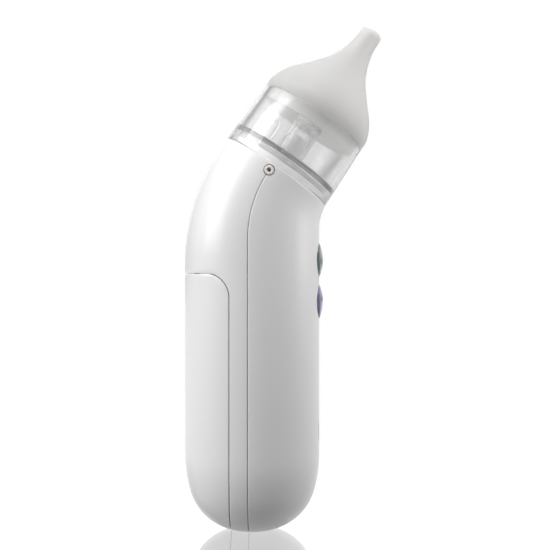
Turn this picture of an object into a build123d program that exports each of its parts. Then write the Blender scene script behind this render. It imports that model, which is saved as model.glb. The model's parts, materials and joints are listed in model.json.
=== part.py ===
"""Battery nasal aspirator: a bent hand body, a clear collection cup and a soft nozzle.

Millimetres. +Z is up and the origin is the middle of the small flat that the body stands on.
The buttons and the leaning head face -Y, the battery door faces +Y, X is sideways.
"""
import os
from math import asin, cos, degrees, radians, sin, sqrt

from build123d import *

# Hand body
HALF_DEPTH = 22.2        # front to back
HALF_WIDTH = 20.5        # side to side
WALL = 2.0
BASE_FLAT = 3.3          # half depth of the flat underneath
BASE_RADIUS = 18.0       # tight curve next to the flat
BASE_TURN = 75.0         # degrees of the tight curve, the wide curve does the rest
SOLE = 0.5               # cut off again, so that the flat is a true plane
BEND_Z = 88.5            # where the back starts to lean
BEND_FRONT_Z = 99.5      # where the front starts to lean
BEND_RADIUS = 65.5       # of the leaning back
BEND_LEAD = 16.0         # the bent part starts this far below BEND_Z
BEND_STEPS = 4

# Head, on an axis that leans forward
LEAN = 34.5
HEAD_Y, HEAD_Z = -7.84, 117.7
HEAD_RADIUS = 19.6
SEAT_DEPTH, SEAT_RISE = 4.0, 3.8
SEAT_RADIUS = 17.2
NIPPLE_END = -8.0
GASKET_LOW, GASKET_WIDE = 2.4, 1.1
FILTER_RADIUS, FILTER_THICK = 6.9, 1.2
CUP_GAP = 0.15           # shadow line between body and cup
CUP_TOP = 21.6
CUP_TOP_RADIUS = 19.0
CUP_INNER = (17.45, 17.25, 17.0)   # inside radius round the seat, over the floor and at the top
CUP_FLOOR = (4.3, 5.7)
CHIMNEY_TOP, CHIMNEY_RADIUS, CHIMNEY_BORE = 13.5, 3.4, 2.2
MARK_BACK, MARK_UP = 7.5, 9.4      # middle of the raised level mark on the cup's sides
CAGE_RADIUS, CAGE_TOP = 5.0, 19.6
SKIRT_END = 17.7         # lower edge of the nozzle's skirt, inside the cup
NOZZLE_OUTLINE = [(19.0, 21.7), (18.75, 25.6), (16.3, 30.7), (11.4, 36.5), (7.5, 41.5), (5.1, 46.5),
                  (3.95, 51.0), (3.7, 54.6)]
NOZZLE_WALL = 1.9
TIP_END, TIP_BORE, TIP_INSIDE = 56.6, 1.6, 47.5
PIN_BACK, PIN_UP = 1.0, -2.33      # pins through both sides of the head
PIN_RADIUS, PIN_SHANK, PIN_HOLE = 1.55, 1.1, 0.62
PIN_CLEARANCE = 0.27

# Lines between the shells and round the battery door
PARTING_Y = 1.0
SEAM_GAP = 0.06
DOOR_FRONT_Y = 6.7
DOOR_TOP = 84.3
DOOR_CORNER = 7.5
DOOR_GAP = 0.14

# Buttons and speaker, on the front
BUTTONS = {"suction": 88.8, "music": 75.0}
BUTTON_RADIUS, BUTTON_HOLE = 5.92, 6.0
BUTTON_PROUD = 1.15
FLANGE_RADIUS = 6.7
FLANGE_FRONT, FLANGE_BACK = -18.3, -17.3
BOARD_FRONT, BOARD_THICK = -12.4, 1.6
BOARD_HALF, BOARD_LOW, BOARD_HIGH = 11.0, 59.0, 100.5
BOARD_SCREW_ZS = (63.2, 97.4)
SWITCH_TALL = 3.0
BOSS_RADIUS, BOSS_TALL = 1.6, 0.55
PLUNGER_RADIUS = 1.7
SPEAKER_Z, SPEAKER_RADIUS = 32.4, 9.5
GRILLE_SLOTS, GRILLE_PITCH, GRILLE_TALL, GRILLE_WIDE = 5, 2.0, 5.7, 0.8

# Battery compartment
CELL_RADIUS, CELL_LONG = 7.2, 49.3
CELL_X, CELL_Y, CELL_Z = 7.25, 9.2, 20.2
TRAY_FRONT, TRAY_BACK, TRAY_HALF = 0.4, 1.9, 17.5
TRAY_BOTTOM, TRAY_TOP = 13.5, 72.2
TRAY_PLATE = 1.5
CASE_SCREW_ZS = (17.2, 50.0)

# Motor and pump, the motor's shaft stands upright
MOTOR_RADIUS, MOTOR_BOTTOM, MOTOR_TOP = 10.0, 75.0, 96.0
CAN_WALL = 0.8
SHAFT_RADIUS, BUSH_BORE = 1.0, 1.05
PUMP_Z = 103.4
CRANK = 0.6              # how far the crank pin is off the shaft
ECCENTRIC_RADIUS = 2.2
RACE_RADII = (3.0, 3.9, 4.7)
BALLS, BALL_RADIUS, BALL_CIRCLE = 9, 0.42, 3.45
BRACKET_WALL = (6.0, 7.5)
DIAPHRAGM_BACK = 8.0
CHAMBER_BACK = 10.6
PLATE_BACK = 11.5
COVER_BACK = 14.4
HEAD_HALF = 6.8          # the pump head is square
PUMP_SCREW = 5.2
VALVE_X = 2.0
PORT_Y, PORT_RADIUS, PORT_END = 12.8, 1.0, 8.6
TUBE_RADIUS = 1.75

HEAD = Plane(
    origin=(0, HEAD_Y, HEAD_Z), x_dir=(1, 0, 0), z_dir=(0, -sin(radians(LEAN)), cos(radians(LEAN)))
)


def rod(start, end, radius):
    """A round bar between two points."""
    start, end = Vector(*start), Vector(*end)
    return Plane(origin=start, z_dir=end - start) * extrude(Circle(radius), (end - start).length)


def tube(start, end, radius, bore):
    return rod(start, end, radius) - rod(start, end, bore)


def block(x, y, z):
    """A box from three (low, high) pairs."""
    size = [high - low for low, high in (x, y, z)]
    middle = [(high + low) / 2 for low, high in (x, y, z)]
    return Pos(*middle) * Box(*size)


def turned(outline):
    """A solid of revolution about the head's axis from (radius, height) points."""
    profile = make_face(Polyline(*outline, close=True))
    return HEAD * revolve(Plane.XZ * profile, Axis.Z, 360)


def side_slab(face, half_width=40.0):
    """A face drawn as (Y, Z) made into a slab across the whole width."""
    return extrude(Plane.YZ * face, half_width, both=True)


def lead(points, radius, corner):
    """A wire or tube on straight runs with rounded corners."""
    path = FilletPolyline(*points, radius=corner)
    return sweep(Plane(origin=path @ 0, z_dir=path % 0) * Circle(radius), path=path)


# ---------------------------------------------------------------- body form

def body_section(back, front, half_width, inset):
    """The oval cut through the body between a point on its back and one on its front."""
    back, front = Vector(0, *back), Vector(0, *front)
    across = back - front
    plane = Plane(
        origin=(back + front) / 2, x_dir=(1, 0, 0), z_dir=Vector(1, 0, 0).cross(across.normalized())
    )
    return plane * Ellipse(half_width - inset, across.length / 2 - inset)


def body_base(inset):
    """The rounded lower end, and the height where the straight part starts."""
    turn = radians(BASE_TURN)
    rest = radians(90 - BASE_TURN)
    wide = (HALF_DEPTH - BASE_FLAT - BASE_RADIUS * sin(turn)) / (1 - cos(rest))
    height = BASE_RADIUS + (wide - BASE_RADIUS) * sin(rest)
    outline = [
        Polyline((0, inset), (0, inset - SOLE), (BASE_FLAT, inset - SOLE), (BASE_FLAT, inset)),
        CenterArc((BASE_FLAT, BASE_RADIUS), BASE_RADIUS - inset, -90, BASE_TURN),
        CenterArc((HALF_DEPTH - wide, height), wide - inset, BASE_TURN - 90, 90 - BASE_TURN),
        Polyline((HALF_DEPTH - inset, height), (0, height), (0, inset)),
    ]
    dome = revolve(Plane.XZ * make_face(outline), Axis.Z, 360)
    dome = scale(dome, by=((HALF_WIDTH - inset) / (HALF_DEPTH - inset), 1, 1))
    return dome - block((-10, 10), (-10, 10), (inset - 2 * SOLE, inset)), height


def body_form(inset=0.0):
    """The whole hand body, moved in from its outer face by inset."""
    base, height = body_base(inset)
    straight_top = BEND_Z - BEND_LEAD
    oval = Ellipse(HALF_WIDTH - inset, HALF_DEPTH - inset)
    middle = Pos(0, 0, height) * extrude(oval, straight_top - height)

    lean = radians(LEAN)
    back_end = (HEAD_Y + HEAD_RADIUS * cos(lean), HEAD_Z + HEAD_RADIUS * sin(lean))
    front_end = (HEAD_Y - HEAD_RADIUS * cos(lean), HEAD_Z - HEAD_RADIUS * sin(lean))
    sweep_angle = asin((back_end[1] - BEND_Z) / BEND_RADIUS)
    sections = [
        body_section((HALF_DEPTH, z), (-HALF_DEPTH, z), HALF_WIDTH, inset)
        for z in (straight_top, BEND_Z - BEND_LEAD / 2, BEND_Z)
    ]
    for step in range(1, BEND_STEPS):
        part = step / BEND_STEPS
        angle = sweep_angle * part
        back = (HALF_DEPTH - BEND_RADIUS * (1 - cos(angle)), BEND_Z + BEND_RADIUS * sin(angle))
        front_z = BEND_Z + (front_end[1] - BEND_Z) * part
        past_bend = max(0.0, front_z - BEND_FRONT_Z) / (front_end[1] - BEND_FRONT_Z)
        front = (-HALF_DEPTH + (front_end[0] + HALF_DEPTH) * past_bend ** 2, front_z)
        width = HALF_WIDTH + (HEAD_RADIUS - HALF_WIDTH) * part ** 2
        sections.append(body_section(back, front, width, inset))
    almost_round = HEAD_RADIUS - 0.02
    sections.append(body_section(back_end, front_end, almost_round, inset))
    return base + middle + loft(sections)


def front_region(shift):
    """Everything in front of the parting line, moved towards the front by shift."""
    turn = radians(LEAN)
    pin = pin_centre()
    radius = (PARTING_Y - pin.Y) / (1 - cos(turn))
    start = (PARTING_Y - shift, pin.Z - radius * sin(turn))
    bend = CenterArc((start[0] - radius, start[1]), radius, 0, LEAN)
    end = bend @ 1
    far = end + Vector(-sin(turn), cos(turn)) * 40
    outline = [
        Line((start[0], -5), start),
        bend,
        Polyline(end, far, (-60, far.Y), (-60, -5), (start[0], -5)),
    ]
    return side_slab(make_face(outline))


def door_region(gap):
    """The part of the wall that the battery door takes up, smaller by gap."""
    low, top, corner = DOOR_FRONT_Y + gap, DOOR_TOP - gap, DOOR_CORNER
    outline = [
        Line((low, -5), (low, top - corner)),
        CenterArc((low + corner, top - corner), corner, 180, -90),
        Polyline((low + corner, top), (40, top), (40, -5), (low, -5)),
    ]
    return side_slab(make_face(outline))


def pin_centre():
    """Where the pins' line crosses the middle of the head."""
    return HEAD.from_local_coords(Vector(0, PIN_BACK, PIN_UP))


def side_rods(low, high, radius):
    """Round bars on the pins' line, one on each side, from low to high in X."""
    c = pin_centre()
    return [rod((side * low, c.Y, c.Z), (side * high, c.Y, c.Z), radius) for side in (-1, 1)]


def pin_bores():
    left, right = side_rods(15, 25, PIN_RADIUS + PIN_CLEARANCE)
    return left + right


def button_bores(radius):
    """Round ways through the front wall for the two buttons."""
    ways = [rod((0, -30, z), (0, -15, z), radius) for z in BUTTONS.values()]
    return ways[0] + ways[1]


def grille_slots():
    cuts = []
    for index in range(GRILLE_SLOTS):
        x = (index - (GRILLE_SLOTS - 1) / 2) * GRILLE_PITCH
        slot = Plane(origin=(x, -15, SPEAKER_Z), x_dir=(0, 0, 1), z_dir=(0, -1, 0))
        cuts.append(extrude(slot * SlotOverall(GRILLE_TALL, GRILLE_WIDE), 12))
    return cuts


def front_shell(outer, inner):
    shell = (outer - inner) & front_region(SEAM_GAP)
    posts = [rod((0, -HALF_DEPTH, z), (0, TRAY_FRONT, z), 3.0) for z in CASE_SCREW_ZS]
    board_posts = [
        rod((x, -21.2, z), (x, BOARD_FRONT, z), 1.8) for x, z in board_screw_sites()
    ]
    for post in posts + board_posts:
        shell = shell + (post & outer)
    for z in CASE_SCREW_ZS:
        shell = shell - rod((0, TRAY_FRONT - 8.5, z), (0, TRAY_FRONT + 1, z), 1.0)
    for x, z in board_screw_sites():
        shell = shell - rod((x, BOARD_FRONT - 4.2, z), (x, BOARD_FRONT + 1, z), 0.75)
    shell = shell - button_bores(BUTTON_HOLE) - pin_bores()
    for slot in grille_slots():
        shell = shell - slot
    return shell


def rear_shell(outer, inner):
    return (outer - inner) - front_region(0) - door_region(0) - pin_bores()


def battery_door(outer, inner):
    door = (outer - inner) & door_region(DOOR_GAP)
    foot = block((-5, 5), (17.8, 20.4), (76, DOOR_TOP - 1.0)) & outer
    tongue = block((-5, 5), (17.8, 19.1), (76, DOOR_TOP + 3.0))
    return door + foot + tongue


# ---------------------------------------------------------------- head

def head_seat():
    """The plug that closes the body and carries the cup, with a nipple for the pump's tube."""
    shell_radius = HEAD_RADIUS - WALL - 0.25
    step = SEAT_RADIUS - GASKET_WIDE
    outline = [
        (0, -SEAT_DEPTH), (shell_radius, -SEAT_DEPTH), (shell_radius, 0), (SEAT_RADIUS, 0),
        (SEAT_RADIUS, GASKET_LOW), (step, GASKET_LOW), (step, SEAT_RISE - 0.3),
        (step - 0.3, SEAT_RISE), (0, SEAT_RISE),
    ]
    seat = turned(outline)
    nipple_long = -NIPPLE_END - SEAT_DEPTH
    seat = seat + HEAD * Pos(0, 0, NIPPLE_END + nipple_long / 2) * Cylinder(PORT_RADIUS, nipple_long)
    depth = FILTER_THICK + 0.2
    seat = seat - HEAD * Pos(0, 0, SEAT_RISE - depth / 2) * Cylinder(FILTER_RADIUS + 0.1, depth)
    seat = seat - HEAD * Pos(0, 0, -1) * Cylinder(0.6, 16)
    for hole in side_rods(13.5, 19, PIN_SHANK):
        seat = seat - hole
    return seat


def seat_gasket():
    """A flat soft ring on the seat's step, pressed against the cup's wall."""
    inner, outer = SEAT_RADIUS - GASKET_WIDE + 0.02, SEAT_RADIUS + 0.08
    low, high = GASKET_LOW + 0.01, SEAT_RISE - 0.05
    return turned([(inner, low), (outer, low), (outer, high), (inner, high)])


def inlet_filter():
    middle = SEAT_RISE - 0.1 - FILTER_THICK / 2
    return HEAD * Pos(0, 0, middle) * Cylinder(FILTER_RADIUS, FILTER_THICK)


def seat_pins():
    """A pin on each side that holds the seat between the two shells."""
    reach = sqrt(HEAD_RADIUS ** 2 - PIN_BACK ** 2)
    shanks = side_rods(14, 17.6, PIN_SHANK)
    heads = side_rods(17.6, reach + 0.12, PIN_RADIUS)
    holes = side_rods(16, 25, PIN_HOLE)
    return Compound(children=[
        shank + head - hole for shank, head, hole in zip(shanks, heads, holes)
    ])


def level_mark():
    """A raised outline on the inside of the cup's wall, one on each side."""
    loop = SlotOverall(5.8, 2.9, rotation=90) - SlotOverall(4.8, 1.9, rotation=90)
    plane = Plane(origin=(-30, MARK_BACK, MARK_UP), x_dir=(0, 1, 0), z_dir=(1, 0, 0))
    outer, inner = CUP_INNER[2] + 0.3, CUP_INNER[2] - 0.3
    skin = Pos(0, 0, MARK_UP) * (Cylinder(outer, 8) - Cylinder(inner, 8))
    return (extrude(plane * loop, 60) & skin).solids()


def collection_cup():
    low_radius, floor_radius, top_radius = CUP_INNER
    floor_low, floor_top = CUP_FLOOR
    outline = [
        (HEAD_RADIUS, CUP_GAP), (CUP_TOP_RADIUS, CUP_TOP), (top_radius, CUP_TOP),
        (top_radius, SKIRT_END - 1), (floor_radius, floor_top),
        (CHIMNEY_RADIUS, floor_top), (CHIMNEY_RADIUS, CHIMNEY_TOP),
        (CHIMNEY_BORE, CHIMNEY_TOP), (CHIMNEY_BORE, floor_low),
        (low_radius, floor_low), (low_radius, CUP_GAP),
    ]
    cup = turned(outline)
    for piece in level_mark():
        cup = cup + HEAD * piece
    return cup


def baffle_cage():
    """A slotted cap over the chimney: air turns back under it and drops what it carries."""
    low = CUP_FLOOR[1] + 0.1
    cap = Pos(0, 0, (low + CAGE_TOP) / 2) * Cylinder(CAGE_RADIUS, CAGE_TOP - low)
    cap = fillet(cap.edges().group_by(Axis.Z)[-1], 1.5)
    cap = cap - Pos(0, 0, 12) * Cylinder(CAGE_RADIUS - 1.1, 12.8)
    for turn in (0, 90):
        cap = cap - Rot(0, 0, turn) * Pos(0, 0, 14.2) * Box(14, 3.6, 5.6)
    collar = Cylinder(CAGE_RADIUS, 1) - Cylinder(CHIMNEY_RADIUS + 0.05, 1)
    return HEAD * (cap + Pos(0, 0, low + 0.5) * collar)


def nozzle_tip():
    """The soft nozzle: a skirt inside the cup, a bell and a slim tip."""
    skirt_radius, skirt_bore = 16.94, 15.4
    outer = Spline(*NOZZLE_OUTLINE, tangents=((0, 1), (-0.05, 1)))
    bell = [(radius - NOZZLE_WALL, height - 0.4) for radius, height in NOZZLE_OUTLINE[1:5]]
    inner = Spline((skirt_bore, CUP_TOP - 0.6), *bell, (TIP_BORE, TIP_INSIDE),
                   tangents=((0.4, 1), (-0.12, 1)))
    tip_radius, tip_start = NOZZLE_OUTLINE[-1]
    outline = [
        outer,
        Line((tip_radius, tip_start), (tip_radius, TIP_END - 1.0)),
        CenterArc((tip_radius - 1.0, TIP_END - 1.0), 1.0, 0, 90),
        Polyline((tip_radius - 1.0, TIP_END), (TIP_BORE, TIP_END), (TIP_BORE, TIP_INSIDE)),
        inner,
        Polyline(
            (skirt_bore, CUP_TOP - 0.6), (skirt_bore, SKIRT_END), (skirt_radius, SKIRT_END),
            (skirt_radius, CUP_TOP + 0.1), NOZZLE_OUTLINE[0],
        ),
    ]
    return HEAD * revolve(Plane.XZ * make_face(outline), Axis.Z, 360)


# ---------------------------------------------------------------- buttons, board and speaker

def button(z):
    """A domed cap with a flange that keeps it behind the wall, and a boss on its back."""
    edge, top = HALF_DEPTH - 0.1, HALF_DEPTH + BUTTON_PROUD
    sphere = (BUTTON_RADIUS ** 2 + (top - edge) ** 2) / (2 * (top - edge))
    reach = degrees(asin(BUTTON_RADIUS / sphere))
    back = -FLANGE_BACK
    half = make_face([
        CenterArc((0, top - sphere), sphere, 90, -reach),
        Polyline(
            (BUTTON_RADIUS, edge), (BUTTON_RADIUS, -FLANGE_FRONT), (FLANGE_RADIUS, -FLANGE_FRONT),
            (FLANGE_RADIUS, back), (BOSS_RADIUS, back), (BOSS_RADIUS, back - BOSS_TALL),
            (0, back - BOSS_TALL), (0, top),
        ),
    ])
    cap = revolve(Plane.XZ * half, Axis.Z, 360)
    return Plane(origin=(0, 0, z), x_dir=(1, 0, 0), z_dir=(0, -1, 0)) * cap


def plunger(z):
    """The tact switch's own pin, which the button carries in."""
    front = FLANGE_BACK + BOSS_TALL + 0.05
    return rod((0, front, z), (0, BOARD_FRONT - 1.6, z), PLUNGER_RADIUS)


def tact_switches():
    switches = []
    for z in BUTTONS.values():
        case = block((-3, 3), (BOARD_FRONT - SWITCH_TALL, BOARD_FRONT), (z - 3, z + 3))
        case = chamfer(case.edges().filter_by(Axis.Y), 0.4)
        well = rod((0, BOARD_FRONT - 0.6, z), (0, BOARD_FRONT - 5, z), PLUNGER_RADIUS + 0.08)
        switches.append(case - well)
    return Compound(children=switches)


def board_screw_sites():
    return [(0, z) for z in BOARD_SCREW_ZS]


def circuit_board():
    y = (BOARD_FRONT, BOARD_FRONT + BOARD_THICK)
    board = block((-BOARD_HALF, BOARD_HALF), y, (BOARD_LOW, BOARD_HIGH))
    board = fillet(board.edges().filter_by(Axis.Y), 1.5)
    for x, z in board_screw_sites():
        board = board - rod((x, y[0] - 1, z), (x, y[1] + 1, z), 1.0)
    return board


def board_components():
    """The controller chip, a capacitor and the lead connector."""
    front = BOARD_FRONT
    chip = block((-7.5, -4), (front - 1.5, front), (66, 70.5))
    capacitor = rod((7.3, front, 67), (7.3, front - 3.2, 67), 2.2)
    connector = block((-6, 6), (front - 2.4, front), (59.6, 61.0))
    return Compound(children=[chip, capacitor, connector])


def screw(x, y, z, direction, length, radius, head_radius, head_height):
    """A pan-head screw: (x, y, z) is under its head and direction is which way Y its tip points."""
    tip = (x, y + direction * length, z)
    shank = rod((x, y, z), tip, radius)
    head = rod((x, y - direction * head_height, z), (x, y, z), head_radius)
    slot_y = y - direction * (head_height - 0.25)
    slot = Pos(x, slot_y, z) * (Box(head_radius * 1.3, 0.5, 0.4) + Box(0.4, 0.5, head_radius * 1.3))
    return shank + head - slot


def board_screws():
    y = BOARD_FRONT + BOARD_THICK
    screws = [screw(x, y, z, -1, 5.0, 0.75, 1.6, 0.8) for x, z in board_screw_sites()]
    return Compound(children=screws)


def case_screws():
    screws = [screw(0, TRAY_BACK, z, -1, 9.0, 1.0, 2.1, 1.3) for z in CASE_SCREW_ZS]
    return Compound(children=screws)


def speaker_frame():
    front, back = -16.4, -13.4
    frame = tube((0, front, SPEAKER_Z), (0, back, SPEAKER_Z), SPEAKER_RADIUS, SPEAKER_RADIUS - 0.8)
    return frame + tube((0, back - 0.8, SPEAKER_Z), (0, back, SPEAKER_Z), SPEAKER_RADIUS - 0.5, 4.6)


def speaker_cone():
    """The paper cone, a shallow dish with a dome in its middle."""
    outline = [(0, 0), (2.4, 0), (8.5, 1.3), (8.5, 1.6), (2.6, 0.4), (1.4, 0.75), (0, 0.9)]
    dish = revolve(Plane.XZ * make_face(Polyline(*outline, close=True)), Axis.Z, 360)
    return Plane(origin=(0, -14.4, SPEAKER_Z), x_dir=(1, 0, 0), z_dir=(0, -1, 0)) * dish


def speaker_magnet():
    return rod((0, -13.4, SPEAKER_Z), (0, -10.2, SPEAKER_Z), 5.6)


# ---------------------------------------------------------------- battery compartment

def battery_tray(inside):
    """The wall between the cells and the works, with the end walls that hold the contacts."""
    x = (-TRAY_HALF, TRAY_HALF)
    plate = block(x, (TRAY_FRONT, TRAY_BACK), (TRAY_BOTTOM, TRAY_TOP + TRAY_PLATE))
    lid = block(x, (TRAY_FRONT, 17.5), (TRAY_TOP, TRAY_TOP + TRAY_PLATE))
    sill = block(x, (TRAY_FRONT, 16.0), (TRAY_BOTTOM, TRAY_BOTTOM + TRAY_PLATE))
    tray = (plate + lid + sill) & inside
    for z in CASE_SCREW_ZS:
        tray = tray - rod((0, TRAY_FRONT - 1, z), (0, TRAY_BACK + 1, z), 1.1)
    return tray


def battery(side):
    """An AA cell, with its button up on the left and down on the right."""
    x = side * CELL_X
    button_end = CELL_Z + CELL_LONG if side < 0 else CELL_Z
    reach = 1.0 if side < 0 else -1.0
    case = rod((x, CELL_Y, CELL_Z), (x, CELL_Y, CELL_Z + CELL_LONG), CELL_RADIUS)
    case = fillet(case.edges().filter_by(GeomType.CIRCLE), 0.6)
    return case + rod((x, CELL_Y, button_end), (x, CELL_Y, button_end + reach), 2.7)


def coil(x, z, height):
    """A contact spring between an end wall and a cell's flat end."""
    wire = 0.3
    rise = height - 2 * wire
    path = Pos(x, CELL_Y, z + wire) * Helix(pitch=rise / 3, height=rise, radius=3.0)
    return sweep(Plane(origin=path @ 0, z_dir=path % 0) * Circle(wire), path=path, is_frenet=True)


def battery_springs():
    bottom = TRAY_BOTTOM + TRAY_PLATE + 0.5
    left = coil(-CELL_X, bottom, CELL_Z - bottom - 0.02)
    top = CELL_Z + CELL_LONG + 0.02
    right = coil(CELL_X, top, TRAY_TOP - 0.5 - top)
    return Compound(children=[left, right])


def contact_plates():
    """One bridge below the cells and two plates above them."""
    low, high = TRAY_BOTTOM + TRAY_PLATE, TRAY_TOP
    bridge = block((-12, 12), (6.5, 14.0), (low + 0.02, low + 0.45))
    bridge = bridge + block((CELL_X - 2.5, CELL_X + 2.5), (8, 13), (low + 0.4, CELL_Z - 1.05))
    left = block((-12, -3.5), (6.5, 14.0), (high - 0.45, high - 0.02))
    left = left + block((-CELL_X - 2.5, -CELL_X + 2.5), (8, 13), (CELL_Z + CELL_LONG + 1.05, high - 0.4))
    right = block((3.5, 12), (6.5, 14.0), (high - 0.45, high - 0.02))
    return Compound(children=[bridge, left, right])


# ---------------------------------------------------------------- motor

def upright(radius, low, high, bore=0.0):
    """A round bar or ring about the motor's shaft."""
    bar = Pos(0, 0, (low + high) / 2) * Cylinder(radius, high - low)
    if bore:
        bar = bar - Pos(0, 0, (low + high) / 2) * Cylinder(bore, high - low + 1)
    return bar


def motor_can():
    can = upright(MOTOR_RADIUS, MOTOR_BOTTOM, MOTOR_TOP)
    can = fillet(can.edges().group_by(Axis.Z)[-1], 0.8)
    can = can - upright(MOTOR_RADIUS - CAN_WALL, MOTOR_BOTTOM - 1, MOTOR_TOP - 1.0)
    can = can + upright(3.0, MOTOR_TOP - 0.1, MOTOR_TOP + 1.3)
    can = can - upright(2.4, MOTOR_TOP - 2, MOTOR_TOP + 2)
    for x, _ in motor_screw_sites():
        can = can - Pos(x, 0, MOTOR_TOP) * Cylinder(0.8, 4)
    return can


def motor_screw_sites():
    return [(-6.5, 0), (6.5, 0)]


def motor_magnets():
    low, high = MOTOR_BOTTOM + 3.5, MOTOR_TOP - 2.2
    ring = upright(MOTOR_RADIUS - CAN_WALL - 0.03, low, high, bore=7.5)
    halves = [block((-20, 20), y, (low - 1, high + 1)) for y in ((-20, -3.4), (3.4, 20))]
    return Compound(children=[(ring & half).solid() for half in halves])


def motor_end_cap():
    cap = upright(MOTOR_RADIUS, MOTOR_BOTTOM - 0.9, MOTOR_BOTTOM - 0.02)
    cap = cap + upright(MOTOR_RADIUS - CAN_WALL - 0.02, MOTOR_BOTTOM - 0.5, MOTOR_BOTTOM + 1.2)
    cap = cap + upright(3.4, MOTOR_BOTTOM, MOTOR_BOTTOM + 1.9)
    return cap - upright(2.4, MOTOR_BOTTOM - 0.3, MOTOR_BOTTOM + 4)


def motor_bushes():
    top = upright(2.4, MOTOR_TOP - 0.9, MOTOR_TOP + 1.3, bore=BUSH_BORE)
    low = upright(2.4, MOTOR_BOTTOM - 0.25, MOTOR_BOTTOM + 1.7, bore=BUSH_BORE)
    return Compound(children=[top, low])


def motor_brushes():
    """Two spring arms with carbon blocks against the commutator."""
    arms = []
    z = MOTOR_BOTTOM + 1.22
    for side in (-1, 1):
        carbon = block(sorted((side * 2.25, side * 3.4)), (-0.8, 0.8), (z + 1.0, z + 2.0))
        arm = block(sorted((side * 3.4, side * 3.7)), (-0.8, 5.5), (z + 1.0, z + 2.0))
        foot = block(sorted((side * 3.4, side * 3.7)), (4.0, 5.5), (z, z + 1.5))
        arms.append(carbon + arm + foot)
    return Compound(children=arms)


def motor_shaft():
    return upright(SHAFT_RADIUS, MOTOR_BOTTOM, PUMP_Z + 3.1)


def armature_core():
    """A three-pole iron core."""
    low, high = MOTOR_BOTTOM + 6.0, MOTOR_TOP - 4.0
    core = upright(2.6, low, high)
    for turn in (90, 210, 330):
        pole = block((0, 6.6), (-1.2, 1.2), (low, high))
        shoe = upright(7.1, low, high, bore=6.0) & block((0, 10), (-5.0, 5.0), (low, high))
        core = core + Rot(0, 0, turn) * (pole + shoe)
    return core - upright(SHAFT_RADIUS, low - 1, high + 1)


def armature_windings():
    """A copper coil round each pole."""
    low, high = MOTOR_BOTTOM + 4.7, MOTOR_TOP - 2.8
    coils = []
    for turn in (90, 210, 330):
        wound = block((3.0, 5.4), (-2.2, 2.2), (low, high))
        wound = wound - block((2.9, 5.5), (-1.22, 1.22), (low + 1.28, high - 1.18))
        wound = wound - upright(2.62, low - 1, high + 1)
        coils.append(Rot(0, 0, turn) * wound)
    return Compound(children=coils)


def commutator():
    """A ring of bars, with slits between them."""
    ring = upright(2.2, MOTOR_BOTTOM + 2.0, MOTOR_BOTTOM + 4.6, bore=SHAFT_RADIUS)
    slit = Pos(0, 0, MOTOR_BOTTOM + 3.3) * (Box(5, 0.25, 3) - Cylinder(1.7, 4))
    for turn in (0, 60, 120):
        ring = ring - Rot(0, 0, turn) * slit
    return ring


# ---------------------------------------------------------------- pump

def on_pin(shape):
    """Moves a shape from the shaft's axis to the crank pin's, which rests towards the front."""
    return Pos(0, -CRANK, 0) * shape


def crank_eccentric():
    disc = on_pin(upright(ECCENTRIC_RADIUS, PUMP_Z - 3, PUMP_Z + 3))
    return disc - upright(SHAFT_RADIUS, PUMP_Z - 5, PUMP_Z + 5)


def bearing_inner_race():
    return on_pin(upright(RACE_RADII[0], PUMP_Z - 1.5, PUMP_Z + 1.5, bore=ECCENTRIC_RADIUS))


def bearing_outer_race():
    return on_pin(upright(RACE_RADII[2], PUMP_Z - 1.5, PUMP_Z + 1.5, bore=RACE_RADII[1]))


def bearing_balls():
    sites = PolarLocations(BALL_CIRCLE, BALLS)
    return Compound(children=[on_pin(Pos(0, 0, PUMP_Z) * spot * Sphere(BALL_RADIUS)) for spot in sites])


def connecting_rod():
    low, high = PUMP_Z - 1.8, PUMP_Z + 1.8
    ring = on_pin(upright(5.8, low, high, bore=RACE_RADII[2]))
    arm = block((-1.5, 1.5), (4.9, 6.6), (low, high))
    pad = rod((0, 6.4, PUMP_Z), (0, BRACKET_WALL[1] - 0.1, PUMP_Z), 2.6)
    return ring + arm + pad - rod((0, 5.6, PUMP_Z), (0, 9, PUMP_Z), 0.8)


def piston_screw():
    """Clamps the diaphragm's middle to the rod."""
    back = DIAPHRAGM_BACK + 0.08
    shank = rod((0, 5.7, PUMP_Z), (0, back, PUMP_Z), 0.8)
    return shank + rod((0, back, PUMP_Z), (0, back + 0.7, PUMP_Z), 2.3)


def pump_bracket():
    """Bolted on the motor, with an upright wall for the pump head."""
    low, high = MOTOR_TOP + 0.02, MOTOR_TOP + 1.5
    plate = block((-8.5, 8.5), (-7.0, BRACKET_WALL[1]), (low, high))
    plate = plate - upright(3.05, low - 1, high + 1)
    wall = block((-HEAD_HALF, HEAD_HALF), BRACKET_WALL, (low, PUMP_Z + HEAD_HALF))
    bracket = plate + wall - rod((0, 5, PUMP_Z), (0, 9, PUMP_Z), 3.8)
    for x, y in motor_screw_sites():
        bracket = bracket - Pos(x, y, low) * Cylinder(0.9, 6)
    return bracket - pump_screw_bores(0.7)


def motor_screws():
    """Two screws that hold the bracket on the motor."""
    top = MOTOR_TOP + 1.52
    screws = []
    for x, y in motor_screw_sites():
        shank = Pos(x, y, top - 1.2) * Cylinder(0.78, 2.4)
        head = Pos(x, y, top + 0.35) * Cylinder(1.4, 0.7)
        slot = Pos(x, y, top + 0.7) * Box(2.0, 0.35, 0.5)
        screws.append(shank + head - slot)
    return Compound(children=screws)


def pump_screw_bores(radius):
    bores = [
        rod((x, 5, PUMP_Z + z), (x, COVER_BACK + 1, PUMP_Z + z), radius)
        for x in (-PUMP_SCREW, PUMP_SCREW) for z in (-PUMP_SCREW, PUMP_SCREW)
    ]
    return bores[0] + bores[1:]


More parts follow.
